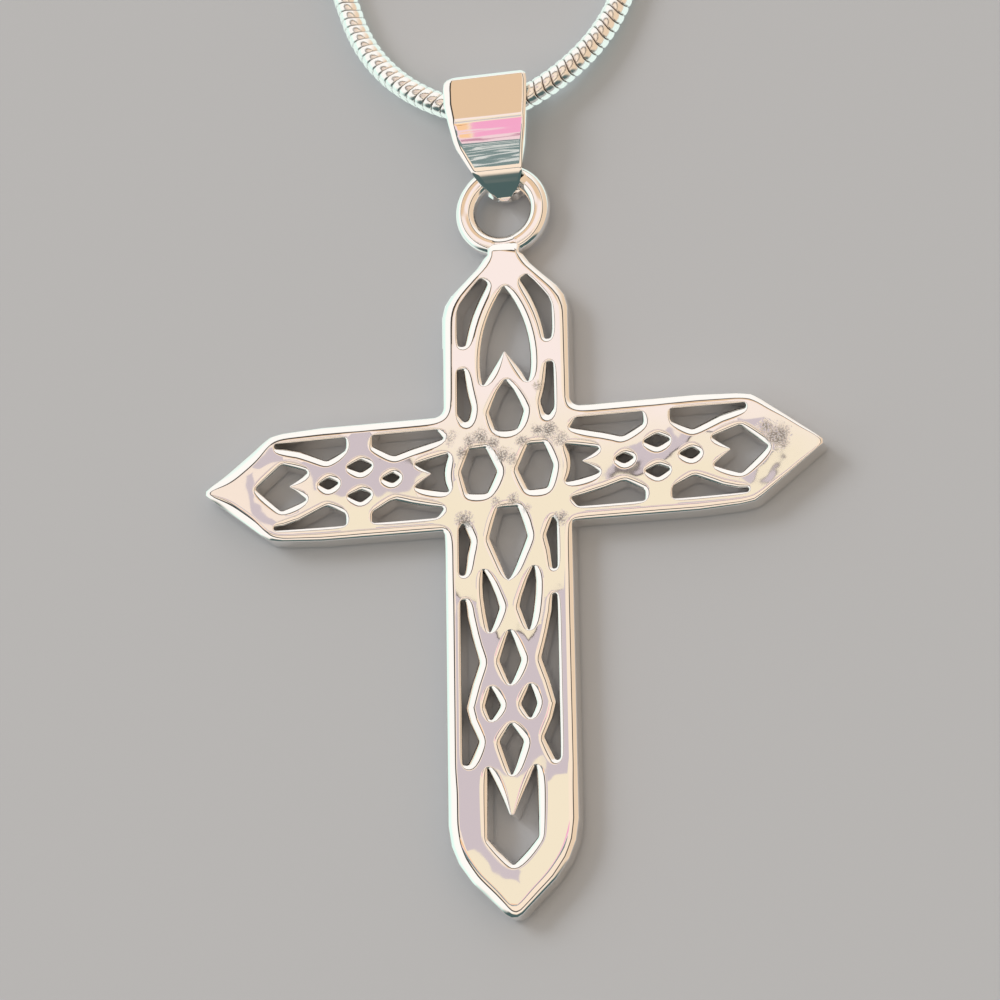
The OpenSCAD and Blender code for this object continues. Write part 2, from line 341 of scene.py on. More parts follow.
def make_silver(name, colour, roughness, wave, comb=(1, 1, 1)):
    """A polished silver: colour, roughness, height of its waves and how they are combed."""
    material, tree, shader = new_material(name, Metallic=1.0)
    where = add_node(tree, "TexCoord").outputs["Object"]
    combed = add_node(tree, "Mapping", Vector=where, Scale=comb).outputs["Vector"]
    waves = add_node(tree, "Group", node_tree=BUFFING, Vector=combed, Wave=wave).outputs["Height"]
    pores = add_node(tree, "Group", node_tree=PORES, Vector=where)
    patch, mask = pores.outputs["Patch"], pores.outputs["Mask"]
    # the grains are darkened as real pits; the rest of each patch is greyed as painted shade
    grain_and_painted_shade = maths(tree, "MAXIMUM", mask, maths(tree, "MULTIPLY", patch, PATCH_PAINTED_SHADE))
    rough = maths(tree, "ADD", maths(tree, "MULTIPLY", mask, PORE_ROUGHNESS), roughness)
    height = maths(tree, "SUBTRACT", waves, maths(tree, "MULTIPLY", mask, PORE_DEPTH))
    fill(tree, shader,
         Base_Color=mix(tree, grain_and_painted_shade, colour, [part * PORE_AND_PAINTED_SHADE_COLOUR for part in colour]),
         Roughness=rough,
         Normal=add_node(tree, "Bump", Distance=MM, Height=height).outputs["Normal"])
    return material


SILVER = make_silver("polished silver", (0.96, 0.935, 0.91), 0.015, 0.025)
BAIL_SILVER = make_silver("rolled silver", (0.96, 0.93, 0.9), 0.02, 0.016, (0.4, 4, 4))
print("made", SILVER.name, "and", BAIL_SILVER.name)

# %% [markdown]
# ## The cross: outlines and the room between them
# The real cross is cast, tumbled and buffed: its back stays flat, and its edges become wide and soft where
# there is much metal, narrow on the thin bars. A bevel of one width would fold over itself. Instead the flat
# top is taken from a copy of the CAD node, only its outlines are kept, and each outline point is given the
# width of rim that the metal beside it leaves room for.

# %% Sizes of the cross
PLATE_TOP = round(max(v.co.z for v in frame["nodes"]["cross"].data.vertices) / MM, 4)
RING_CENTRE = Vector((-0.1, 17.3, 1.07))
RING_RADIUS = 2.43  # of the wire's middle line
RING_WIRE = 0.575  # radius of the wire
RING_FLAT = 0.2  # how much broader the wire is than high
CORNER_ROUNDING = 0.1
POINT_SPACING = 0.3  # along the outlines
MERGE = 0.045  # outline points nearer to each other than this become one
LEVEL = 0.999  # least upward part of a level face's normal
print("plate is", PLATE_TOP, "mm thick")


# %% Take the flat top of the CAD node as outlines
def from_ring(point):
    """Distance from the ring's centre, seen from above."""
    return math.hypot(point.x - RING_CENTRE.x, point.y - RING_CENTRE.y)


def copy_node(node, name):
    """A copy of a CAD node's mesh in millimetres, merged."""
    piece = bpy.data.objects.new(name, frame["nodes"][node].data.copy())
    bpy.context.scene.collection.objects.link(piece)
    piece.data.transform(Matrix.Scale(1 / MM, 4))
    edit(piece)
    bpy.ops.mesh.select_all(action="SELECT")
    bpy.ops.mesh.remove_doubles(threshold=TOUCHING)
    return piece


def is_top(face):
    """A face of the flat top, as opposed to the ring, the neck's slope or a wall."""
    return face.normal.z > LEVEL and all(abs(v.co.z - PLATE_TOP) < TOUCHING for v in face.verts)


plate = copy_node("cross", "plate")
bpy.ops.mesh.select_mode(type="FACE")
pick(plate, "faces", lambda face: not is_top(face))
bpy.ops.mesh.delete(type="FACE")
bpy.ops.mesh.select_mode(type="EDGE")
pick(plate, "edges", lambda edge: not edge.is_boundary)
bpy.ops.mesh.delete(type="EDGE")
bpy.ops.mesh.select_mode(type="VERT")
bpy.ops.mesh.select_all(action="SELECT")
bpy.ops.mesh.remove_doubles(threshold=MERGE)
print("outlines have", len(bmesh.from_edit_mesh(plate.data).verts), "points")


# %% Lengthen the neck into the ring, and round the sharp corners
ROOM_TO_ROUND = 2.2 * CORNER_ROUNDING  # least length of the two edges at a corner
WIDEST_CORNER = math.radians(155)  # a corner that opens wider than this isn't sharp
WINDOW_PLACES = [  # across from and to on either side, along from and to
    (-1, 3.6, -25, 12.9),
    (3.5, 16.6, -3.2, 3.2),
]
NECK_EXTRA = 0.7  # how far the neck is lengthened
NECK_REACH = 0.12  # the neck's end is the points that lie this near to the ring's middle line


def is_sharp_corner(vertex):
    """A sharp corner whose two edges leave room to round it."""
    edges = vertex.link_edges
    if len(edges) != 2 or min(edge.calc_length() for edge in edges) < ROOM_TO_ROUND:
        return False
    before, after = (edge.other_vert(vertex).co - vertex.co for edge in edges)
    return before.angle(after) < WIDEST_CORNER


def is_inner_corner(vertex):
    """Corners of the windows; the cross's own outline keeps its long corners."""
    return any(near < abs(vertex.co.x) < far and low < vertex.co.y < high
               for near, far, low, high in WINDOW_PLACES)


pick(plate, "verts", lambda vertex: from_ring(vertex.co) < RING_RADIUS + NECK_REACH)
bpy.ops.transform.translate(value=(0, NECK_EXTRA, 0))
rounded = pick(plate, "verts", lambda vertex: is_inner_corner(vertex) and is_sharp_corner(vertex))
bpy.ops.mesh.bevel(affect="VERTICES", offset=CORNER_ROUNDING, segments=3, clamp_overlap=False)
bpy.ops.mesh.select_mode(type="EDGE")
while pick(plate, "edges", lambda edge: edge.calc_length() > 1.5 * POINT_SPACING):
    bpy.ops.mesh.subdivide(number_cuts=1)
print("rounded", rounded, "window corners; now", len(bmesh.from_edit_mesh(plate.data).verts), "points")


# %% Find on which side of each outline the metal lies
def metal_side(edge):
    """The direction across an outline edge into the metal."""
    start, end = (vertex.co for vertex in edge.verts)
    along = (end - start).normalized()
    across = Vector((along.y, -along.x, 0))
    towards = edge.link_faces[0].calc_center_median() - (start + end) / 2
    return across if across.dot(towards) > 0 else -across


bpy.ops.mesh.select_all(action="SELECT")
bpy.ops.mesh.fill(use_beauty=True)
mesh = bmesh.from_edit_mesh(plate.data)
for name in ("metal", "outline", "rim_end"):
    mesh.verts.layers.float_vector.new(name)
mesh.verts.layers.float.new("outer")
metal = mesh.verts.layers.float_vector["metal"]
for vertex in mesh.verts:
    sides = [metal_side(edge) for edge in vertex.link_edges if edge.is_boundary]
    vertex[metal] = sum(sides, Vector()).normalized()
bmesh.update_edit_mesh(plate.data)
pick(plate, "edges", lambda edge: not edge.is_boundary)
bpy.ops.mesh.delete(type="EDGE")
bpy.ops.mesh.select_mode(type="VERT")

# %% Tell the outer outline from the windows
lowest = min(vertex.co.y for vertex in bmesh.from_edit_mesh(plate.data).verts)
pick(plate, "verts", lambda vertex: vertex.co.y < lowest + TOUCHING)
bpy.ops.mesh.select_linked()
mesh = bmesh.from_edit_mesh(plate.data)
outer = mesh.verts.layers.float["outer"]
for vertex in mesh.verts:
    vertex[outer] = 1 if vertex.select else 0
print("the outer outline has", sum(vertex.select for vertex in mesh.verts), "points")

# %% [markdown]
# ## The cross: widths of the rim
# From every outline point three lines are drawn into the metal until they meet the next outline. The
# shortest gives the room, and the rim takes its share of it. The wheel reaches the outer edges best, so
# they get most, and it runs towards the upper left, so what faces that way gets more. The rim's inner line
# is then relaxed, as buffing does it: each point moves towards its neighbours, so that the line runs in a
# round curve past the windows' sharp corners.

# %% Measure the room
WIDEST = {True: 0.8, False: 0.75}  # widest rim of the outer outline, and of a window
SHARES = {  # is this the outer outline, is the next one: share of the metal between them
    (True, True): 0.45,
    (True, False): 0.66,
    (False, True): 0.22,
    (False, False): 0.44,
}
WHEEL_WAY = Vector((-0.8, 0.6, 0))  # rims that face this way were buffed most
WHEEL_GAIN = {True: (1, 0.2), False: (1.1, 0.3)}  # width across that way, and what facing it adds
RIGHT_TIP = (15, 17.5, 0.35)  # across from, across to, how much of the outer rim's width is left
LOOK_WAYS = [math.radians(degrees) for degrees in (-35, 0, 35)]  # away from straight into the metal
LOOK_START = 0.03  # how far inside its outline a look starts
WIDTH_TURNS = 4  # how often the widths are evened out
RIM_LEAST_SHARE = 0.2  # least part of its width that relaxing leaves a rim
RELAX_TURNS = 6
corners, panels, outer_walls = [], [], []
for edge in mesh.edges:
    low_side, high_side = Vector((0, 0, -1)), Vector((0, 0, 1))
    first, second = (vertex.co for vertex in edge.verts)
    corners += [first + low_side, second + low_side, second + high_side, first + high_side]
    panels.append(range(len(corners) - 4, len(corners)))
    outer_walls.append(edge.verts[0][outer] > 0.5)
walls = BVHTree.FromPolygons(corners, panels)
metal = mesh.verts.layers.float_vector["metal"]


def part_way(value, start, end):
    """How far a value has come from start to end, from 0 to 1."""
    return min(max((value - start) / (end - start), 0), 1)


def width_at(vertex):
    """The rim's width at an outline point: its share of the metal up to the next outline."""
    is_outer = vertex[outer] > 0.5
    width = WIDEST[is_outer]
    for turn in LOOK_WAYS:
        inwards = Matrix.Rotation(turn, 3, "Z") @ vertex[metal]
        wall, distance = walls.ray_cast(vertex.co + LOOK_START * vertex[metal], inwards)[2:]
        if wall is not None:
            share = SHARES[is_outer, outer_walls[wall]]
            width = min(width, share * (distance + LOOK_START) * math.cos(turn))
    base, gain = WHEEL_GAIN[is_outer]
    width *= base - gain * vertex[metal].dot(WHEEL_WAY)
    if is_outer:
        start, end, left_over = RIGHT_TIP
        width *= 1 - (1 - left_over) * part_way(vertex.co.x, start, end)
    return width


def neighbours(vertex):
    """The points before and after this one on its outline."""
    return [edge.other_vert(vertex) for edge in vertex.link_edges]


widths = {vertex: width_at(vertex) for vertex in mesh.verts}
for turn in range(WIDTH_TURNS):
    widths = {vertex: min(width, (width + sum(widths[near] for near in neighbours(vertex))) / 3)
              for vertex, width in widths.items()}
print("rims are", round(min(widths.values()), 2), "to", round(max(widths.values()), 2), "mm wide")

# %% Relax the rim's inner line
ends = {vertex: vertex.co + width * vertex[metal] for vertex, width in widths.items()}
for turn in range(RELAX_TURNS):
    moved = {}
    for vertex, end in ends.items():
        pull = (sum((ends[near] for near in neighbours(vertex)), Vector()) / 2 - end) / 2
        if pull.dot(vertex[metal]) > 0 and not vertex[outer]:
            pull = Vector()
        end = end + pull
        depth = (end - vertex.co).dot(vertex[metal])
        least = RIM_LEAST_SHARE * widths[vertex]
        moved[vertex] = end + max(least - depth, 0) * vertex[metal]
    ends = moved
outline, rim_end = (mesh.verts.layers.float_vector[name] for name in ("outline", "rim_end"))
for vertex, end in ends.items():
    vertex[outline] = vertex.co
    vertex[rim_end] = end
bmesh.update_edit_mesh(plate.data)

# %% Build the rim inwards and upwards
RIM_TILT = math.radians(36)  # how steep the rim is at its outer end
RIM_STEPS = 7
EDGE_SHARE = 0.09  # share of the rim's width that its rounded outer edge takes
EDGE_DROP = 0.07  # how far that edge drops below the rim


def place_ring(tilt, edge_share, drop):
    """Moves the selected ring of points to where the rim has this tilt."""
    mesh = bmesh.from_edit_mesh(plate.data)
    outline, rim_end = (mesh.verts.layers.float_vector[name] for name in ("outline", "rim_end"))
    for vertex in mesh.verts:
        if vertex.select:
            inwards = edge_share + (1 - edge_share) * (1 - math.sin(tilt) / math.sin(RIM_TILT))
            radius = (vertex[rim_end] - vertex[outline]).length / math.sin(RIM_TILT)
            vertex.co = vertex[outline].lerp(vertex[rim_end], inwards)
            vertex.co.z -= radius * (1 - math.cos(tilt)) + drop
    bmesh.update_edit_mesh(plate.data)


bpy.ops.mesh.select_mode(type="EDGE")
bpy.ops.mesh.select_all(action="SELECT")
place_ring(RIM_TILT, 0, EDGE_DROP)
for step in range(RIM_STEPS + 1):
    bpy.ops.mesh.extrude_edges_move()
    place_ring(RIM_TILT * (1 - step / RIM_STEPS), EDGE_SHARE, 0)
bpy.ops.mesh.fill(use_beauty=True)
print("upper half has", len(bmesh.from_edit_mesh(plate.data).faces), "faces")

# %% [markdown]
# ## The cross: walls, back and neck
# The rim and the flat are only the upper half. The outline edges are pulled straight down to the middle
# of the plate, and a mirror makes the lower half, so the hidden front has the same soft rim. The neck's
# end was filed down to the height of the ring's wire, so it is bent down, and what is past it is cut off.


# %% Pull the walls down and mirror the plate
def is_open_edge(edge):
    """An edge that has a face on one side at most."""
    return len(edge.link_faces) < 2


pick(plate, "edges", is_open_edge)
bpy.ops.mesh.extrude_edges_move()
for vertex in bmesh.from_edit_mesh(plate.data).verts:
    if vertex.select:
        vertex.co.z = PLATE_TOP / 2
bmesh.update_edit_mesh(plate.data)
bpy.ops.mesh.select_all(action="SELECT")
bpy.ops.transform.translate(value=(0, 0, -PLATE_TOP / 2))
bpy.ops.mesh.normals_make_consistent(inside=False)
apply_modifier(plate, "MIRROR", use_axis=(False, False, True), merge_threshold=TOUCHING)
for name in ("metal", "outline", "rim_end", "outer"):
    plate.data.attributes.remove(plate.data.attributes[name])

# %% Slope the neck towards the ring
NECK_START = 14.35  # where the slope begins, along the cross
NECK_ROWS = 5  # cuts across the slope, so that it can bend
neck_end = RING_CENTRE.y - RING_RADIUS
neck_fall = PLATE_TOP - (RING_CENTRE.z + RING_WIRE)
edit(plate)
for row in range(NECK_ROWS + 1):
    bpy.ops.mesh.select_all(action="SELECT")
    bpy.ops.mesh.bisect(
        plane_co=(0, NECK_START + row * (neck_end - NECK_START) / NECK_ROWS, 0), plane_no=(0, 1, 0))
    bpy.ops.mesh.select_all(action="DESELECT")
for vertex in bmesh.from_edit_mesh(plate.data).verts:
    along = part_way(vertex.co.y, NECK_START, neck_end)
    fall = neck_fall * along * along * (3 - 2 * along)
    vertex.co.z += PLATE_TOP / 2 - fall * (vertex.co.z / PLATE_TOP + 0.5)
bmesh.update_edit_mesh(plate.data)
bpy.ops.object.mode_set(mode="OBJECT")
print("neck falls", round(neck_fall, 3), "mm towards the ring")

# %% Cut the neck round the wire and solder the ring on
NECK_IN_WIRE = 0.1  # how far the neck reaches past the middle of the wire
CUTTER_SIDES = 96
WIRE_SIDES = 36
RING_STEPS = 112
bpy.ops.mesh.primitive_cylinder_add(
    vertices=CUTTER_SIDES, radius=RING_RADIUS - NECK_IN_WIRE, depth=4, location=RING_CENTRE)
cutter = bpy.context.object
apply_modifier(plate, "BOOLEAN", object=cutter, operation="DIFFERENCE", solver="EXACT")
bpy.data.objects.remove(cutter)
bpy.ops.mesh.primitive_circle_add(
    vertices=WIRE_SIDES, radius=RING_WIRE, rotation=(math.pi / 2, 0, 0),
    location=RING_CENTRE + Vector((RING_RADIUS, 0, 0)))
ring = bpy.context.object
apply_place(ring)
edit(ring)
for side in (-1, 1):
    pick(ring, "verts", lambda vertex: side * (from_ring(vertex.co) - RING_RADIUS) > TOUCHING)
    bpy.ops.transform.translate(value=(side * RING_FLAT / 2, 0, 0))
bpy.ops.mesh.select_all(action="SELECT")
bpy.ops.mesh.spin(steps=RING_STEPS, angle=2 * math.pi, center=RING_CENTRE, axis=(0, 0, 1))
bpy.ops.mesh.select_all(action="SELECT")
bpy.ops.mesh.remove_doubles(threshold=TOUCHING)
bpy.ops.mesh.normals_make_consistent(inside=False)
bpy.ops.object.mode_set(mode="OBJECT")
print("ring has", len(ring.data.polygons), "faces")
apply_modifier(plate, "BOOLEAN", object=ring, operation="UNION", solver="EXACT")
bpy.data.objects.remove(ring)
print("cross has", len(plate.data.polygons), "faces")

# %% Shade the cross
def shade(piece, angle):
    """Smooth shading with edges sharper than the angle kept, and flats kept flat."""
    only(piece)
    bpy.ops.object.shade_smooth_by_angle(angle=math.radians(angle))
    apply_modifier(piece, "WEIGHTED_NORMAL", mode="FACE_AREA", keep_sharp=True, weight=100)


shade(plate, 50)
finish_piece(plate, "silver_cross", SILVER, "silver", "cross")

# %% [markdown]
# ## The bail
# The bail is a strip of silver folded over the chain and through the ring, and soldered behind. Seen
# from the side it is a belt round two rollers, so it starts as a circle whose lower half is shrunk and
# pulled away. Pulled sideways it becomes a band, its edges are moved to the tapered outline, and a
# solidify modifier gives the strip its thickness.

# %% Sizes of the bail
STRIP = 0.4  # thickness
CHAIN_FOLD = 1.6  # radius of the fold round the chain
RING_FOLD = 1.4  # and of the fold through the ring
SPAN = 5.6  # from the middle of one fold to that of the other
BAIL_PLACE = Vector((-0.1, 19.25, 0))
BAIL_WIDTHS = [  # distance from the middle of the lower fold, reach to the left, reach to the right
    (-1.6, 0, 0.2),
    (-1.3, 0.2, 0.55),
    (-0.9, 0.75, 1),
    (-0.5, 1.15, 1.32),
    (0.1, 1.55, 1.6),
    (0.7, 1.9, 1.68),
    (1.35, 2.28, 1.75),
    (1.9, 2.6, 1.82),
    (2.4, 2.78, 1.91),
    (3, 2.92, 2),
    (4, 3.15, 2.07),
    (5, 3.36, 2.13),
    (6.2, 3.38, 2.15),
    (6.7, 3.3, 2.08),
    (7.05, 3, 1.8),
    (7.2, 2.7, 1.6),
    (7.3, 2.7, 1.6),
]


def bail_reach(distance):
    """How far the bail reaches left and right at a distance, read between two rows of the table."""
    distance = min(max(distance, BAIL_WIDTHS[0][0]), BAIL_WIDTHS[-1][0])
    for before, after in zip(BAIL_WIDTHS, BAIL_WIDTHS[1:]):
        if distance <= after[0]:
            part = (distance - before[0]) / (after[0] - before[0])
            return [before[side] + part * (after[side] - before[side]) for side in (1, 2)]


# %% How the strip's upper side falls
BAIL_FALL = [  # distance from the middle of the lower fold, how steeply the top falls towards the ring
    (5.6, 0),
    (3.74, 0.012),
    (3.56, 0.158),
    (2.1, 0.18),
    (1.9, 0.19),
    (0.8, 0.204),
    (0.35, 0.23),
    (0.2, 0.76),
    (-1.2, 0.77),
]
LEFT_EDGE = [  # distance from the left edge, how far the strip is rolled down there
    (0, 0.22),
    (0.15, 0.1),
    (0.4, 0.02),
    (0.62, 0),
]
RIGHT_EDGE = [(0.28, 0), (0.13, 0.03), (0, 0.13)]  # the same from the right edge
FULL_WIDTH = 5.4  # a strip as wide as this has edges of those sizes
NARROWEST = 0.6  # a narrower strip has smaller edges, down to this share
LEAST_WIDTH = 1.1  # where it is narrower than this, its edges shrink on towards nothing
UPPER_FLAT = 0.95  # how far the flat runs on over the fold round the chain
UPPER_FOLD_POWER = 1.6  # 2 bends the rest of the fold as a circle, 1 makes it a straight slope


def bail_top(distance):
    """Height of the strip's upper side at a distance from the middle of the lower fold."""
    height = 2 * CHAIN_FOLD
    for (far, far_fall), (near, near_fall) in zip(BAIL_FALL, BAIL_FALL[1:]):
        reached = max(distance, near)
        if reached < far:
            fall = far_fall + (far - reached) / (far - near) * (near_fall - far_fall)
            height -= (far - reached) * (far_fall + fall) / 2
    return height


print("the upper side falls from", 2 * CHAIN_FOLD, "to", round(bail_top(0), 2), "mm")

# %% Fold the strip
FOLD_SIDES = 72
LONG_RUN_CUTS = 40
JUST_PAST = 0.03  # the points on the split itself stay with the upper fold
bpy.ops.mesh.primitive_circle_add(
    vertices=FOLD_SIDES, radius=CHAIN_FOLD, location=(0, SPAN, CHAIN_FOLD), rotation=(0, math.pi / 2, 0))
bail = bpy.context.object
apply_place(bail)
edit(bail)
lean = 2 * math.asin((CHAIN_FOLD - RING_FOLD) / SPAN)
split = Vector((0, -math.cos(lean / 2), math.sin(lean / 2)))
roller = Vector((0, SPAN, CHAIN_FOLD))
pick(bail, "verts", lambda vertex: (vertex.co - roller).dot(split) > JUST_PAST)
bpy.ops.transform.resize(value=(1, RING_FOLD / CHAIN_FOLD, RING_FOLD / CHAIN_FOLD),
                         center_override=roller)
bpy.ops.transform.translate(value=(0, -SPAN, RING_FOLD - CHAIN_FOLD))
bpy.ops.mesh.select_mode(type="EDGE")
pick(bail, "edges", lambda edge: edge.calc_length() > 1)
bpy.ops.mesh.subdivide(number_cuts=LONG_RUN_CUTS)
fold_start = BAIL_FALL[-1][0]
flatten = (bail_top(fold_start) - RING_FOLD) / math.sqrt(RING_FOLD ** 2 - fold_start ** 2)
for vertex in bmesh.from_edit_mesh(bail.data).verts:
    if vertex.co.z > RING_FOLD and vertex.co.y < fold_start:
        vertex.co.z = RING_FOLD + flatten * (vertex.co.z - RING_FOLD)
    elif vertex.co.z > CHAIN_FOLD and vertex.co.y < SPAN:
        vertex.co.z = bail_top(vertex.co.y)
    elif vertex.co.z > CHAIN_FOLD:
        part = part_way(vertex.co.y - SPAN, UPPER_FLAT, CHAIN_FOLD)
        vertex.co.z = CHAIN_FOLD * (1 + (1 - part ** UPPER_FOLD_POWER) ** (1 / UPPER_FOLD_POWER))

# %% Pull the fold sideways into a band and shape its two edges
UNDER_TUCK = 0.7  # how far the right side of the underside is tucked in
TUCK_HEIGHTS = (2, 0.4)  # not at all at the first height, all of it at the second
TUCK_PLACES = (-0.5, 1)  # not at all at the first distance from the lower fold's middle, all at the second
bpy.ops.mesh.select_all(action="SELECT")
bpy.ops.mesh.extrude_region_move(TRANSFORM_OT_translate={"value": (1, 0, 0)})
columns = len(LEFT_EDGE) + len(RIGHT_EDGE)
pick(bail, "edges", lambda edge: abs(edge.verts[0].co.x - edge.verts[1].co.x) > 0.5)
bpy.ops.mesh.subdivide(number_cuts=columns - 2)
for vertex in bmesh.from_edit_mesh(bail.data).verts:
    column = round(vertex.co.x * (columns - 1))
    left, right = bail_reach(vertex.co.y)
    scale = min(max((left + right) / FULL_WIDTH, NARROWEST), (left + right) / LEAST_WIDTH, 1)
    inset, drop = (LEFT_EDGE + RIGHT_EDGE)[column]
    middle_y = min(max(vertex.co.y, 0), SPAN)
    outwards = Vector((0, vertex.co.y - middle_y,
                       vertex.co.z - RING_FOLD - (CHAIN_FOLD - RING_FOLD) * middle_y / SPAN))
    vertex.co -= scale * scale * drop * outwards.normalized()
    tuck = part_way(vertex.co.z, *TUCK_HEIGHTS) * part_way(vertex.co.y, *TUCK_PLACES)
    right -= UNDER_TUCK * tuck
    vertex.co.x = scale * inset - left if column < len(LEFT_EDGE) else right - scale * inset
bmesh.update_edit_mesh(bail.data)
bpy.ops.mesh.select_all(action="SELECT")
bpy.ops.mesh.normals_make_consistent(inside=False)
print("the band has", len(bmesh.from_edit_mesh(bail.data).faces), "faces")


# %% Give the strip its thickness and soft edges
EDGE_ROUNDING = 0.05
LONG_EDGE_ANGLE = math.radians(50)
ANY_EDGE_ANGLE = math.radians(60)


def is_outside_edge(edge):
    """The long sharp edges on the outside of the folded strip."""
    if len(edge.link_faces) != 2 or edge.calc_face_angle() < LONG_EDGE_ANGLE:
        return False
    middle = (edge.verts[0].co + edge.verts[1].co) / 2
    centre = Vector((middle.x, min(max(middle.y, 0), SPAN), CHAIN_FOLD - 0.1))
    broad = min(edge.link_faces, key=lambda face: abs(face.normal.x))
    return broad.normal.dot(middle - centre) > 0


apply_modifier(bail, "SOLIDIFY", thickness=STRIP, offset=-1)
edit(bail, "EDGE")
outside_edges = pick(bail, "edges", is_outside_edge)
bpy.ops.mesh.bevel(affect="EDGES", offset=EDGE_ROUNDING, segments=2, clamp_overlap=True)
apply_modifier(bail, "BEVEL", width=EDGE_ROUNDING, segments=2, limit_method="ANGLE",
               angle_limit=ANY_EDGE_ANGLE, use_clamp_overlap=True)
print("rounded", outside_edges, "outside edges of the strip")
bail.location = BAIL_PLACE
shade(bail, 40)
finish_piece(bail, "silver_bail", BAIL_SILVER, "silver", "bail")
for axis, label in enumerate(("across", "along", "up")):
    places = [vertex.co[axis] / MM for vertex in bail.data.vertices]
    print("the bail reaches", label, "from", round(min(places), 2), "to", round(max(places), 2), "mm")

# %% [markdown]
# ## The chain's route
# A snake chain bends in smooth arcs. Its loop is therefore made of bends and straights: a narrow bend
# inside the bail, a wider one on each side, a straight run, and one wide bend round the back to the
# clasp. The run's length follows from the chain's whole length.

# %% Route of the chain
CHAIN_RADIUS = 0.8
LOOP_LENGTH = 450
CHAIN_X = -1  # across, along and height of the chain's middle in the bail
CHAIN_Y = 24.24
CHAIN_BAIL_Z = 1.5
BEND_IN = 6.5  # radius of the bend in the bail, and of the next one
BEND_OUT = 12
LEAVE = math.radians(24)  # direction after the bend in the bail, and of the straight run
RUN = math.radians(72)
CLASP_LENGTH = 12
CLASP_RADIUS = 1.7
SOCKET_DEPTH = 2.2
BAIL_HOLDS = (3, 10)  # the chain keeps its height this far from the bail's middle, and is down so far on
CLASP_LIFTS = (40, 32)  # it starts to rise so far before the clasp's middle, over so long
bail_part = BEND_IN * LEAVE
side_part = BEND_OUT * (RUN - LEAVE)
clasp_run = CLASP_LENGTH / 2 + 1  # half of the straight piece through the clasp
half_loop = LOOP_LENGTH / 2 - bail_part - side_part - clasp_run
back_angle = math.pi - RUN
side_x = BEND_IN * math.sin(LEAVE) + BEND_OUT * (math.sin(RUN) - math.sin(LEAVE))
side_y = BEND_IN * (1 - math.cos(LEAVE)) + BEND_OUT * (math.cos(LEAVE) - math.cos(RUN))
run = ((half_loop - back_angle * (side_x - clasp_run) / math.sin(RUN))
       / (1 + back_angle * math.cos(RUN) / math.sin(RUN)))
back_radius = (side_x + run * math.cos(RUN) - clasp_run) / math.sin(RUN)
back_y = side_y + run * math.sin(RUN) + back_radius * math.cos(RUN)
print("straight run", round(run, 1), "mm, bend round the back", round(back_radius, 1), "mm")


def half_route(distance):
    """Place on the right half of the loop, across and along from its lowest point."""
    if distance < bail_part:
        turn = distance / BEND_IN
        return BEND_IN * math.sin(turn), BEND_IN * (1 - math.cos(turn))
    distance -= bail_part
    if distance < side_part:
        turn = LEAVE + distance / BEND_OUT
        return (BEND_IN * math.sin(LEAVE) + BEND_OUT * (math.sin(turn) - math.sin(LEAVE)),
                BEND_IN * (1 - math.cos(LEAVE)) + BEND_OUT * (math.cos(LEAVE) - math.cos(turn)))
    distance -= side_part
    if distance < run:
        return side_x + distance * math.cos(RUN), side_y + distance * math.sin(RUN)
    turn = RUN + (distance - run) / back_radius
    if turn < math.pi:
        return clasp_run + back_radius * math.sin(turn), back_y - back_radius * math.cos(turn)
    return clasp_run - (turn - math.pi) * back_radius, back_y + back_radius


def ease(part):
    """From 0 to 1 with a soft start and end."""
    part = part_way(part, 0, 1)
    return part * part * (3 - 2 * part)


def route(distance):
    """Place on the loop at a signed distance from its lowest point."""
    away = abs(distance)
    x, y = half_route(away)
    fallen = ease((away - BAIL_HOLDS[0]) / BAIL_HOLDS[1])
    risen = ease((away - LOOP_LENGTH / 2 + CLASP_LIFTS[0]) / CLASP_LIFTS[1])
    z = (CHAIN_RADIUS + (CHAIN_BAIL_Z - CHAIN_RADIUS) * (1 - fallen)
         + (CLASP_RADIUS - CHAIN_RADIUS) * risen)
    return Vector((CHAIN_X + math.copysign(x, distance), CHAIN_Y + y, z))


# %% [markdown]
# ## The links of the chain
# A snake chain is made of thin curved plates, pressed so close that they look like a round tube with
# fine slanted joints. One plate is modelled as a short ring with a groove at each end and a wave round
# its edge. An array repeats it and a curve modifier bends the row along the route. The groove is painted
# dark as the shade between the plates, and it scatters light, so an attribute on its points tells the
# material where it is.

# %% One link
LINK_PITCH = 0.62
LINK_SIDES = 14
LINK_WAVE = 0.15  # how far the link's edge waves along the chain
END_ROOM = 0.3  # between the chain's end and the bottom of its socket
LINK_PROFILE = [  # place along the link in pitches, radius, how deep in the groove
    (-0.5, 0.62, 1),
    (-0.37, 0.77, 0),
    (-0.02, 0.8, 0),
    (0.35, 0.76, 0),
    (0.49, 0.62, 1),
]
reach = LOOP_LENGTH / 2 - CLASP_LENGTH / 2 + SOCKET_DEPTH - END_ROOM
link_count = round(2 * reach / LINK_PITCH)
bpy.ops.mesh.primitive_cylinder_add(
    vertices=LINK_SIDES, radius=CHAIN_RADIUS, depth=1, end_fill_type="NOTHING",
    rotation=(0, math.pi / 2, 0))
link = bpy.context.object
apply_place(link)
edit(link, "EDGE")
pick(link, "edges", lambda edge: abs(edge.verts[0].co.x - edge.verts[1].co.x) > 0.5)
bpy.ops.mesh.subdivide(number_cuts=len(LINK_PROFILE) - 2)
mesh = bmesh.from_edit_mesh(link.data)
groove = mesh.verts.layers.float.new("groove")
for vertex in mesh.verts:
    along, radius, depth = LINK_PROFILE[round((vertex.co.x + 0.5) * (len(LINK_PROFILE) - 1))]
    turn = math.atan2(vertex.co.z, vertex.co.y)
    vertex.co = (LINK_PITCH * along + LINK_WAVE * math.sin(2 * turn),
                 radius * math.cos(turn), radius * math.sin(turn))
    vertex[groove] = depth
bmesh.update_edit_mesh(link.data)
bpy.ops.object.mode_set(mode="OBJECT")
print("one link has", len(link.data.polygons), "faces, the chain has", link_count, "links")
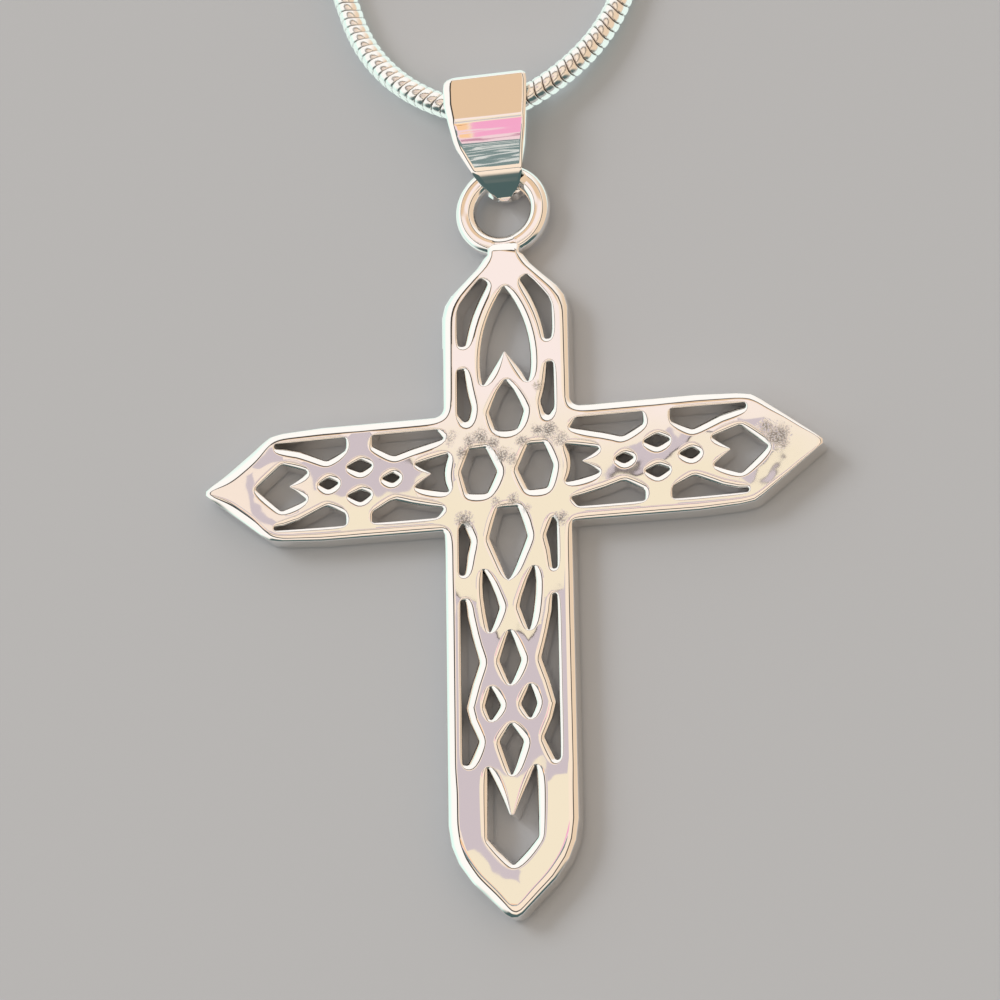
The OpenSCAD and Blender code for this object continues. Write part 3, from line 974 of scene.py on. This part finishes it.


# %% Silver with grooves painted dark as shade
LINK_COLOUR = (0.96, 0.94, 0.915)
# the joints between the plates are painted this dark as shade
GROOVE_PAINTED_SHADE = (0.42, 0.37, 0.35)
GROOVE_LIMITS = (0.25, 0.95)  # where the painted shade and the dullness begin and where they are full
LINK_ROUGHNESS = 0.12
GROOVE_ROUGHNESS = 0.25
WEAR_ROUGHNESS = 0.12
WEAR_SCALE = 900.0  # spots to the metre


def make_link_silver():
    """The chain's silver, darker as painted shade and duller where the groove attribute is high."""
    material, tree, shader = new_material("chain silver", Metallic=1.0)
    groove = add_node(tree, "Attribute", attribute_name="groove").outputs["Fac"]
    where = add_node(tree, "TexCoord").outputs["Object"]
    wear = add_node(tree, "TexNoise", Vector=where, Scale=WEAR_SCALE, Detail=2.0).outputs["Fac"]
    deep = ramp(tree, groove, *GROOVE_LIMITS)
    dull = maths(tree, "ADD", maths(tree, "MULTIPLY", deep, GROOVE_ROUGHNESS), LINK_ROUGHNESS)
    fill(tree, shader,
         Base_Color=mix(tree, deep, LINK_COLOUR, GROOVE_PAINTED_SHADE),
         Roughness=maths(tree, "ADD", maths(tree, "MULTIPLY", wear, WEAR_ROUGHNESS), dull))
    return material


CHAIN_SILVER = make_link_silver()
print("made", CHAIN_SILVER.name)

# %% Lay the links along the route
PATH_POINTS = 900
path_data = bpy.data.curves.new("route", "CURVE")
path_data.dimensions = "3D"
spline = path_data.splines.new("POLY")
spline.points.add(PATH_POINTS)
for index, point in enumerate(spline.points):
    distance = -reach + 2 * reach * index / PATH_POINTS
    point.co = (*route(distance), 1)
path_data.twist_mode = "Z_UP"
path = bpy.data.objects.new("route", path_data)
bpy.context.scene.collection.objects.link(path)
link.location = (LINK_PITCH / 2, 0, 0)
apply_place(link)
apply_modifier(link, "ARRAY", count=link_count, use_relative_offset=False,
               use_constant_offset=True, constant_offset_displace=(LINK_PITCH, 0, 0))
apply_modifier(link, "CURVE", object=path, deform_axis="POS_X")
bpy.data.objects.remove(path)
shade(link, 50)
finish_piece(link, "snake_chain", CHAIN_SILVER, "chain_silver", "chain")
print("chain spans", [round(v / MM, 2) for v in link.dimensions], "mm")

# %% [markdown]
# ## The clasp
# The photograph's view ends long before the clasp, so it is a plain closed barrel. A lathe would turn it
# from a rod. Here the floor of one socket is a disc, and its edge is extruded out of the socket, over
# the end cap and along the barrel to the middle. A mirror makes the other half.

# %% Turn the barrel
CLASP_SIDES = 64
SOCKET_RADIUS = 1
CLASP_ROWS = [  # distance from the middle, radius
    (5.92, 1),
    (6, 1.07),
    (6, 1.28),
    (5.93, 1.4),
    (5.75, 1.47),
    (5.3, 1.49),
    (5.2, 1.4),
    (5.05, 1.4),
    (4.95, 1.5),
    (4.7, 1.63),
    (4.3, 1.69),
    (3.6, 1.7),
    (0.14, 1.7),
    (0.06, 1.6),
    (0, 1.6),
]
bpy.ops.mesh.primitive_circle_add(
    vertices=CLASP_SIDES, radius=SOCKET_RADIUS, fill_type="NGON", rotation=(0, math.pi / 2, 0),
    location=(CLASP_LENGTH / 2 - SOCKET_DEPTH, 0, 0))
clasp = bpy.context.object
apply_place(clasp)
edit(clasp, "EDGE")
bpy.ops.mesh.select_all(action="SELECT")
place, radius = CLASP_LENGTH / 2 - SOCKET_DEPTH, SOCKET_RADIUS
for next_place, next_radius in CLASP_ROWS:
    bpy.ops.mesh.select_mode(type="EDGE")
    pick(clasp, "edges", is_open_edge)
    bpy.ops.mesh.extrude_edges_move(TRANSFORM_OT_translate={"value": (next_place - place, 0, 0)})
    grow = next_radius / radius
    bpy.ops.transform.resize(value=(1, grow, grow), center_override=(next_place, 0, 0))
    place, radius = next_place, next_radius
apply_modifier(clasp, "MIRROR", use_axis=(True, False, False), merge_threshold=TOUCHING)
edit(clasp)
bpy.ops.mesh.select_all(action="SELECT")
bpy.ops.mesh.normals_make_consistent(inside=False)
bpy.ops.object.mode_set(mode="OBJECT")
clasp.location = (CHAIN_X, CHAIN_Y + back_y + back_radius, CLASP_RADIUS)
print("the clasp is", [round(size, 2) for size in clasp.dimensions], "mm")
shade(clasp, 40)
finish_piece(clasp, "barrel_clasp", SILVER, "silver", "clasp")

# %% [markdown]
# ## Floor and light
# The pendant lies on a pale floor. Polished metal shows its surroundings, so it is lit as such pieces are
# photographed: in a white light tent with a cream roof. The dark seam between roof and walls draws the
# thin lines along the rims. Coloured cards hang under the roof, where only the polished metal sees them,
# and the floor is matt, so that it mirrors none of them.

# %% Floor
bpy.ops.mesh.primitive_plane_add(size=4)
floor = bpy.context.object
floor.name = "floor"
FLOOR_FINISH, *_ = new_material(
    "pale floor", Base_Color=(0.52, 0.55, 0.6, 1), Roughness=0.9, Specular_IOR_Level=0)
floor.data.materials.append(FLOOR_FINISH)
floor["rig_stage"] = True
print("made", FLOOR_FINISH.name)

# %% A soft lamp
LAMP_PLACE = Vector((-1.5, 1.0, 1.5))  # in metres
lamp_data = bpy.data.lights.new("key_from_the_upper_left", "AREA")
lamp_data.size = 0.9
lamp_data.energy = 14
lamp_data.color = (1, 0.98, 0.95)
lamp = bpy.data.objects.new("key_from_the_upper_left", lamp_data)
lamp.location = LAMP_PLACE
lamp.rotation_euler = (-LAMP_PLACE).to_track_quat("-Z", "Y").to_euler()
lamp.visible_camera = False
lamp.visible_glossy = False
bpy.context.scene.collection.objects.link(lamp)
print("the lamp hangs", round(LAMP_PLACE.length, 2), "m from the crossing")

# %% Helpers for the light tent
world = bpy.data.worlds.new("light tent")
world.use_nodes = True
tree = world.node_tree
CAMERA_PLACE = camera.location / MM
CAMERA_HEIGHT = CAMERA_PLACE.z - PLATE_TOP
LEAST_RISE = 0.05  # least upward part of a direction, so that no ray reads the roof endlessly far away


def stripe(value, low, high, edge):
    """1 between low and high and 0 elsewhere, with soft edges."""
    return maths(tree, "MULTIPLY", ramp(tree, value, low - edge, low + edge),
                 maths(tree, "SUBTRACT", 1.0, ramp(tree, value, high - edge, high + edge)))


towards = add_node(tree, "TexCoord").outputs["Generated"]
side, deep, high = add_node(tree, "SeparateXYZ", Vector=towards).outputs
above = maths(tree, "MAXIMUM", high, LEAST_RISE)
across, along = (
    maths(tree, "ADD", maths(tree, "MULTIPLY", maths(tree, "DIVIDE", part, above), CAMERA_HEIGHT), start)
    for part, start in ((side, CAMERA_PLACE.x), (deep, CAMERA_PLACE.y)))
print("the roof is read", round(CAMERA_HEIGHT, 1), "mm above the flat")

# %% The light tent
YELLOW_CREAM = (0.942, 0.837, 0.649)
PINK_CREAM = (0.996, 0.872, 0.836)
LEFT_CREAM = (0.969, 0.83, 0.723)
TAN_CREAM = (0.81, 0.587, 0.39)
PEACH = (1.0, 0.84, 0.68)
WHITE = (1.05, 1.03, 1.0)
MINT = (0.8, 1.05, 0.98)
TAN = (0.85, 0.66, 0.48)
DARK_TEAL = (0.08, 0.13, 0.13)
SEAM_BROWN = (0.06, 0.048, 0.042)
SEAM = (0.799, 0.866)  # from and to, as the upward part of a direction of length 1
SEAM_EDGE = 0.006
ROOF_START = (0.81, 0.84)  # where the walls turn into the roof, behind the seam
ROOF_TINTS = [  # on which measure, from and to in mm on the cross, colour
    (along, -2, 6, PINK_CREAM),
    (across, -9, -15, LEFT_CREAM),
    (along, 16, 18.5, TAN_CREAM),
    (across, 22, 60, PEACH),
    (along, -38, -46, PEACH),
]
low_left = maths(tree, "MULTIPLY", ramp(tree, high, 0.45, 0.15), ramp(tree, side, -0.5, -0.8))
low_front = maths(tree, "MULTIPLY", ramp(tree, high, 0.66, 0.6), ramp(tree, deep, -0.4, -0.6))
WALL_TINTS = [  # how much, colour
    (ramp(tree, side, 0.1, 0.7), TAN),
    (ramp(tree, deep, -0.3, -0.8), PEACH),
    (low_left, MINT),
    (low_front, DARK_TEAL),
]
roof, walls = YELLOW_CREAM, WHITE
for place, start, end, colour in ROOF_TINTS:
    roof = mix(tree, ramp(tree, place, start, end), roof, colour)
for amount, colour in WALL_TINTS:
    walls = mix(tree, amount, walls, colour)
tent = mix(tree, ramp(tree, high, *ROOF_START), walls, roof)
tent = mix(tree, stripe(high, *SEAM, SEAM_EDGE), tent, SEAM_BROWN)
tree.links.new(tent, tree.nodes["Background"].inputs["Color"])
tree.nodes["Background"].inputs["Strength"].default_value = 1.0
bpy.context.scene.world = world
bpy.context.scene.view_settings.view_transform = "Standard"
print("the tent has", len(tree.nodes), "nodes")

# %% [markdown]
# ## Cards in the tent
# A flat mirror shows a card where the card hangs, so each card is drawn as it should look on the cross, in
# millimetres, and is then moved to where a ray from the camera goes after that place on the flat back. The
# folded bail leans, so it looks at rows of cards that hang past the foot of the cross. One more card lies on
# the floor, for the sides that face left. The cards glow a little, and neither the camera nor the floor sees
# them, as a photographer hides them by distance.

# %% Hang a card
HANG_HEIGHT = 1.5  # in metres
LAYER_STEP = 0.01
TAPER = 0.3  # breadth of a line's ends, as a share of its middle


def hang_card(name, colour, outline, layer=0):
    """Hangs a glowing card that the flat back shows with this outline; higher layers hang in front."""
    bpy.ops.mesh.primitive_circle_add(vertices=len(outline), fill_type="NGON")
    hung = bpy.context.object
    hung.name = name
    height = HANG_HEIGHT - LAYER_STEP * layer
    for vertex, (across, along) in zip(hung.data.vertices, outline):
        slope = Vector(((across - CAMERA_PLACE.x) / CAMERA_HEIGHT,
                        (along - CAMERA_PLACE.y) / CAMERA_HEIGHT, 1))
        vertex.co = Vector((across, along, 0)) * MM + slope * height
    glow, *_ = new_material(name, Base_Color=(0, 0, 0, 1), Specular_IOR_Level=0,
                            Emission_Color=(*colour, 1), Emission_Strength=1)
    hung.data.materials.append(glow)
    hung.visible_camera = False
    hung.visible_diffuse = False
    hung.visible_shadow = False
    hung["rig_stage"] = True
    return hung


def hang_line(name, colour, places, breadth, layer):
    """Hangs a thin card along a row of places, tapered at its ends."""
    left, right = [], []
    for index, (across, along) in enumerate(places):
        before, after = places[max(index - 1, 0)], places[min(index + 1, len(places) - 1)]
        way = Vector((after[0] - before[0], after[1] - before[1])).normalized()
        half = breadth / 2 * (TAPER if index in (0, len(places) - 1) else 1)
        left.append((across - way.y * half, along + way.x * half))
        right.append((across + way.y * half, along - way.x * half))
    return hang_card(name, colour, left + right[::-1], layer)


# %% A card on the floor that lights the sides turned to the left
MINT_WHITE = (0.86, 1.0, 0.95)
CARD_LIFT = 0.02
FLOOR_CARD = [(-150, 9), (-4.4, 9), (-4.4, 21), (150, 21), (150, 400), (-150, 400)]
floor_card = hang_card("floor_card", MINT_WHITE, FLOOR_CARD)
for vertex, (across, along) in zip(floor_card.data.vertices, FLOOR_CARD):
    vertex.co = Vector((across, along, CARD_LIFT)) * MM
print("the floor card has", len(FLOOR_CARD), "corners")

# %% Lilac cards
LILAC = (0.64, 0.56, 0.6)
LINE = (0.1, 0.08, 0.08)
FOOT_EDGE = [  # across, along
    (-30, -7.4), (-3, -7.6), (-2.3, -8.4), (-1.7, -10.3), (-1.2, -10.8), (-0.6, -10.4), (0.16, -10),
    (0.9, -10.3), (1.45, -10.8), (2, -10.3), (2.7, -8.5), (3.4, -8), (30, -8),
]
FOOT_END = [
    (30, -19.8), (1.9, -20), (1.5, -18), (1.1, -18.4), (0.1, -19.4), (-1.1, -18.4), (-1.5, -18.9),
    (-1.7, -23.4), (0, -25), (-0.2, -26), (-1.3, -25.4), (-2.4, -24.6), (-3.1, -23.8), (-30, -23.8),
]
LEFT_ARM = [
    (-17, 1.8), (-14.7, 3.1), (-10.1, 3.2), (-8.5, 2.5), (-8.3, 1.3), (-6.1, 0.6), (-4.5, -0.4),
    (-6.1, -1.2), (-8.3, -2.1), (-9.8, -1.4), (-12.3, -1), (-12.7, 0.6), (-14, 1.3), (-15.8, 0.9),
]
LEFT_ARC = [(-16.9, 0.5), (-16.3, 0.8), (-16, -0.6), (-13.9, -2), (-14.3, -2.4), (-16.3, -1.5)]
RIGHT_ARM = [
    (5.2, -1.9), (7.2, 0.4), (10.1, 2.1), (11.2, 1.2), (14, 2.4), (16.2, 2.3), (17.5, 0.7), (17.1, -0.7),
    (15.4, -1.9), (14.6, -1.6), (16, 0), (15, 1.7), (12.5, 0.9), (9.7, 0), (7, -0.6),
]
hang_card("lilac_foot_card", LILAC, FOOT_EDGE + FOOT_END)
hang_line("line_of_the_foot", LINE, FOOT_EDGE[1:-1], 0.16, 2)
hang_card("lilac_left_card", LILAC, LEFT_ARM)
hang_line("line_of_the_left_arm", LINE, LEFT_ARM[2:7], 0.12, 2)
hang_card("lilac_left_arc", LILAC, LEFT_ARC)
hang_card("lilac_right_card", LILAC, RIGHT_ARM)
hang_line("line_of_the_right_arm", LINE, [(4.6, -2.2), *RIGHT_ARM[:10:-1]], 0.18, 2)
hang_line("line_of_the_right_tip", LINE, RIGHT_ARM[5:9], 0.1, 2)

# %% Cards that the folded bail shows, row under row
ROSE = (0.95, 0.42, 0.64)
ORANGE = (1.0, 0.64, 0.36)
DARK_RED = (0.35, 0.07, 0.03)
PALE_ROSE = (0.93, 0.7, 0.75)
DARK_ROSE = (0.55, 0.25, 0.36)
TEAL_GREY = (0.2, 0.28, 0.28)
PALE_GREY = (0.75, 0.78, 0.76)


def hang_row(name, colour, low, high, left=-60, right=60):
    """Hangs a straight row in front of the roof, from low to high along the cross."""
    hang_card(name, colour, [(left, low), (right, low), (right, high), (left, high)], layer=1)


hang_row("rose_card", ROSE, -33.6, -28.2, left=1.35)
hang_row("orange_card", ORANGE, -33.6, -28.1, right=1.2)
hang_line("red_line", DARK_RED, [(-3, -31.4), (-0.4, -31.1), (1.1, -30.6)], 1.3, 3)
hang_row("pale_rose_card", PALE_ROSE, -37, -33.6)
hang_line("rose_line", DARK_ROSE, [(-6, -33.9), (2, -34.9), (9, -34.1)], 0.5, 3)
hang_row("teal_card", TEAL_GREY, -48, -37)
PLEATS = [  # lower edge, upper edge, how much it tilts
    (-38.9, -38.3, 0.3),
    (-40.6, -40, -0.5),
    (-42.2, -41.7, 0.4),
    (-44, -43.2, -0.7),
    (-46, -45.4, 0.5),
]
for number, (low, high, tilt) in enumerate(PLEATS):
    hang_line("pale_pleat_%d" % number, PALE_GREY,
              [(-6, low - tilt), (0, low), (3, high), (9, high + tilt)], high - low, 3)
staged = sum("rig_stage" in piece for piece in bpy.data.objects)
print("hung", staged - 1, "cards over the floor")

# %% Print the visual box and finish
bpy.context.view_layer.update()
low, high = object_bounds()
print("visual box in mm:", [round(v / MM, 2) for v in (*low, *high)])
